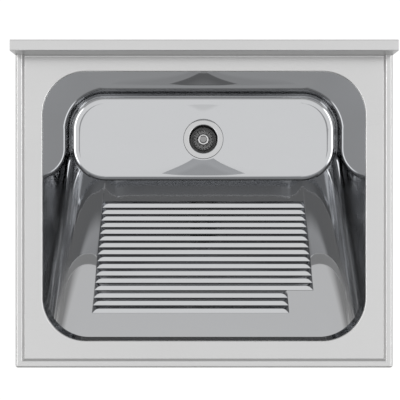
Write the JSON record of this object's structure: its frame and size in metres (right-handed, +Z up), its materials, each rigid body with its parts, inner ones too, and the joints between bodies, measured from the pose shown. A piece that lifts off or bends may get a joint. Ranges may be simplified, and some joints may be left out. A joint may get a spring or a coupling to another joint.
{
  "type": "laundry sink",
  "caption": "Stainless laundry sink: deck with raised rim and low splashback, deep bowl with a sloping pressed washboard, and a basket waste with a pull-up knob.",
  "frame": {"origin": "centre of the four cabinet fixing holes, on the plane that the sink rests on, which is also the middle of the deck's plan", "axes": "+X to the right as seen from the front, +Y to the wall behind, +Z up"},
  "size_m": [0.7, 0.6, 0.4387],
  "materials": {
    "deck_steel": "fine satin grain running left to right",
    "bowl_steel": "bright polished",
    "channel_steel": "plain galvanised",
    "pad_rubber": "dull",
    "tag_brass": "plain",
    "waste_steel": "polished",
    "seal_rubber": "dull",
    "washer_plastic": "dull",
    "nut_plastic": "fine moulded texture",
    "pipe_plastic": "moulded",
    "basket_steel": "satin",
    "knob_steel": "polished"
  },
  "bodies": {
    "sink": {"deck_panel": "deck_steel", "splashback": "deck_steel", "end_cap_left": "deck_steel", "end_cap_right": "deck_steel", "bowl": "bowl_steel", "stiffener_front": "channel_steel", "stiffener_rear": "channel_steel", "stiffener_left": "channel_steel", "stiffener_right": "channel_steel", "sound_pad_left": "pad_rubber", "sound_pad_right": "pad_rubber", "earth_tag": "tag_brass", "waste_body": "waste_steel", "flange_gasket": "seal_rubber", "lower_gasket": "seal_rubber", "friction_washer": "washer_plastic", "lock_nut": "nut_plastic", "outlet_hub": "waste_steel", "tail_gasket": "seal_rubber", "tailpiece": "pipe_plastic", "union_nut": "nut_plastic"},
    "stem": {"stem": "basket_steel", "knob": "knob_steel", "basket_washer": "basket_steel", "stopper": "seal_rubber", "stem_clip": "basket_steel"},
    "basket": {"strainer_basket": "basket_steel"}
  },
  "joints": [
    {"name": "basket_lift", "type": "slide", "parent": "sink", "child": "stem", "axis": [0, 0, 1], "range_m": [0, 0.07]},
    {"name": "basket_turn", "type": "hinge", "parent": "stem", "child": "basket", "pos_m": [0, 0.15, -0.2664], "axis": [0, 0, 1], "continuous": true}
  ]
}
